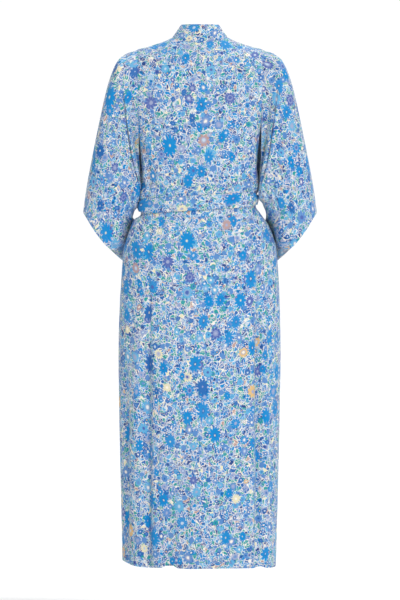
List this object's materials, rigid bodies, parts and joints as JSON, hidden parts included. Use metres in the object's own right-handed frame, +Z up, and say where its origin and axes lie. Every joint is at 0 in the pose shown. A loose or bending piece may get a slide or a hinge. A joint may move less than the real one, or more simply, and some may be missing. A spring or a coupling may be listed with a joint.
{
  "type": "wrap kimono robe",
  "caption": "Long wrap kimono robe in printed cloth, filled out as worn, with wide sleeves, a standing collar band and a tie belt.",
  "frame": {"origin": "middle of the neck, level with the seams where the collar meets the shoulders", "axes": "+Z up, -Y towards the wearer's front, +X towards the wearer's left"},
  "size_m": [0.574, 0.2732, 1.3296],
  "materials": {
    "print": "thin plain-woven cotton, printed all over, matt",
    "band_print": "the same cloth sewn double, print turned on its side",
    "belt_print": "the same cloth sewn double, print turned on its side"
  },
  "bodies": {
    "root": {"back": "print", "front_left": "print", "front_right": "print", "sleeve_left": "print", "sleeve_right": "print", "collar": "band_print", "belt": "belt_print", "belt_knot": "belt_print", "belt_end_left": "belt_print", "belt_end_right": "belt_print"}
  },
  "joints": []
}
